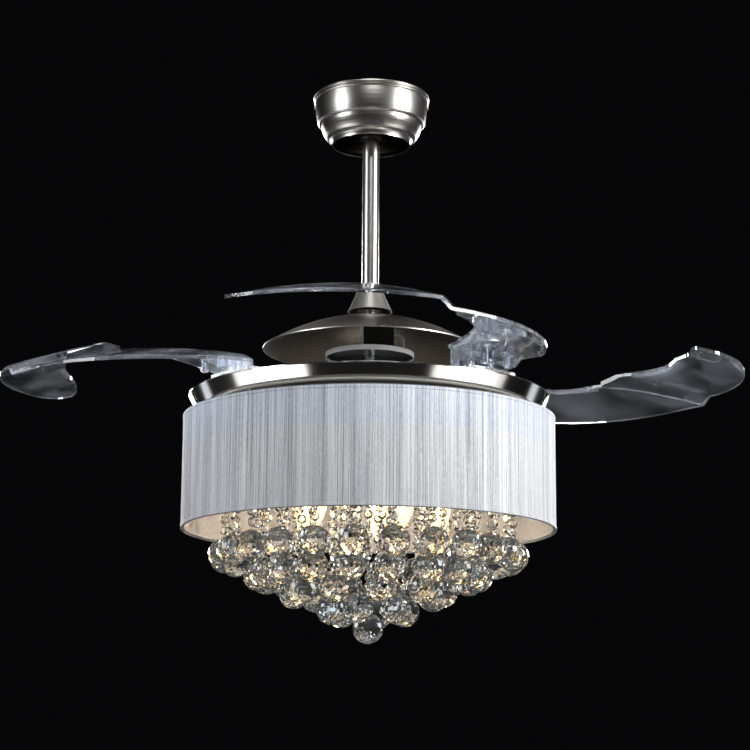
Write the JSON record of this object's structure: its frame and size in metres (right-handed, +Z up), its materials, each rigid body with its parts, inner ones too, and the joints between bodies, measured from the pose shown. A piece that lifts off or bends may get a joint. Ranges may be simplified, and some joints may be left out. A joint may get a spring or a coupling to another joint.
{
  "type": "ceiling fan",
  "caption": "Hanging ceiling fan with clear folding blades above a thread-covered drum shade, lamps and a tiered bunch of hanging crystal balls.",
  "frame": {"origin": "centre of the bracket's flat upper face, where the fan meets the ceiling", "axes": "+Z up out of that face, everything hangs below zero; +X along the line of the two ceiling slots; the camera that took the picture looks along +Y"},
  "size_m": [1.0816, 1.0816, 0.8169],
  "materials": {
    "zinc_steel": "plated sheet steel",
    "satin_nickel": "satin brushed nickel",
    "polished_nickel": "polished nickel",
    "bronze_lining": "satin bronze",
    "dark_gloss": "glossy near-black",
    "white_gloss": "glossy white",
    "white_paint": "white enamel",
    "black_plastic": "fine matt",
    "grey_cable": "smooth sheath",
    "terminal_plastic": "matt",
    "ball_rubber": "matt",
    "motor_alloy": "machined casting",
    "core_steel": "laminated",
    "copper": "enamelled wire",
    "magnet": "plated",
    "bearing_steel": "ground",
    "spring_steel": "drawn wire",
    "gear_plastic": "natural nylon",
    "clear_acrylic": "clear polished acrylic with bright edges",
    "clear_arm": "clear moulded plastic",
    "silver_thread": "fine upright silver-white threads",
    "lining_film": "translucent film",
    "trim_tape": "woven white edging",
    "lamp_glass": "clear flame bulb, lit warm",
    "socket_white": "ivory candle sleeve",
    "crystal": "faceted clear crystal",
    "mirror_plate": "mirror polished"
  },
  "bodies": {
    "mount": {"ceiling_bracket": "zinc_steel", "terminal_block": "terminal_plastic", "canopy": "satin_nickel", "canopy_trim_ring": "satin_nickel", "canopy_screws": "polished_nickel"},
    "hung": {"hanger_ball": "ball_rubber", "rod_pins": "zinc_steel", "downrod": "satin_nickel", "rod_collar": "bronze_lining", "coupling_cover": "satin_nickel", "shaft_yoke": "zinc_steel", "upper_dish": "satin_nickel", "dish_screws": "polished_nickel", "support_posts": "polished_nickel", "receiver_box": "black_plastic", "receiver_lead": "grey_cable", "mounting_plate": "dark_gloss", "plate_rim": "white_gloss", "hollow_shaft": "zinc_steel", "shaft_nuts": "zinc_steel", "stator_core": "core_steel", "stator_windings": "copper", "lamp_plate": "white_paint", "shade_top_frame": "white_paint", "shade_bottom_ring": "white_paint", "shade_threads": "silver_thread", "shade_liner": "lining_film", "shade_trims": "trim_tape", "lamp_sockets": "socket_white", "lamp_bulbs": "lamp_glass", "crystal_plate": "mirror_plate", "crystal_plate_studs": "polished_nickel", "bead_strings_outer": "crystal", "bead_strings_inner": "crystal", "crystal_balls_outer": "crystal", "crystal_balls_inner": "crystal"},
    "centre_drop": {"drop_string": "crystal", "drop_ball": "crystal"},
    "rotor": {"motor_upper_shell": "motor_alloy", "motor_lower_shell": "motor_alloy", "rotor_magnets": "magnet", "motor_bearings": "bearing_steel", "motor_screws": "zinc_steel", "blade_tray": "polished_nickel", "pivot_posts": "zinc_steel", "pivot_caps": "polished_nickel", "return_springs": "spring_steel"},
    "linkage_ring": {"sync_gear": "gear_plastic"},
    "fold_blade_1": {"blade_1": "clear_acrylic", "blade_arm_1": "clear_arm", "blade_screws_1": "polished_nickel"},
    "fold_blade_2": {"blade_2": "clear_acrylic", "blade_arm_2": "clear_arm", "blade_screws_2": "polished_nickel"},
    "fold_blade_3": {"blade_3": "clear_acrylic", "blade_arm_3": "clear_arm", "blade_screws_3": "polished_nickel"},
    "fold_blade_4": {"blade_4": "clear_acrylic", "blade_arm_4": "clear_arm", "blade_screws_4": "polished_nickel"}
  },
  "joints": [
    {"name": "hanger_swing", "type": "hinge", "parent": "mount", "child": "hung", "pos_m": [0, 0, -0.03], "axis": [0, 1, 0], "range_deg": [-8, 8]},
    {"name": "rotor_spin", "type": "hinge", "parent": "hung", "child": "rotor", "pos_m": [0, 0, -0.45], "axis": [0, 0, 1], "continuous": true},
    {"name": "centre_drop_swing", "type": "hinge", "parent": "hung", "child": "centre_drop", "pos_m": [0, 0, -0.5611], "axis": [0, 1, 0], "range_deg": [-4, 4]},
    {"name": "linkage_turn", "type": "hinge", "parent": "rotor", "child": "linkage_ring", "pos_m": [0, 0, -0.4653], "axis": [0, 0, 1], "range_deg": [0, 12.94]},
    {"name": "blade_1_fold", "type": "hinge", "parent": "rotor", "child": "fold_blade_1", "pos_m": [0.16358, 0.13485, -0.4573], "axis": [0, 0, 1], "range_deg": [-85, 0]},
    {"name": "blade_2_fold", "type": "hinge", "parent": "rotor", "child": "fold_blade_2", "pos_m": [0.13485, -0.16358, -0.4573], "axis": [0, 0, 1], "range_deg": [-85, 0]},
    {"name": "blade_3_fold", "type": "hinge", "parent": "rotor", "child": "fold_blade_3", "pos_m": [-0.16358, -0.13485, -0.4573], "axis": [0, 0, 1], "range_deg": [-85, 0]},
    {"name": "blade_4_fold", "type": "hinge", "parent": "rotor", "child": "fold_blade_4", "pos_m": [-0.13485, 0.16358, -0.4573], "axis": [0, 0, 1], "range_deg": [-85, 0]}
  ],
  "couplings": [
    {"joint": "blade_2_fold", "follows": "blade_1_fold", "ratio": 1},
    {"joint": "blade_3_fold", "follows": "blade_1_fold", "ratio": 1},
    {"joint": "blade_4_fold", "follows": "blade_1_fold", "ratio": 1},
    {"joint": "linkage_turn", "follows": "blade_1_fold", "ratio": -0.15217}
  ]
}
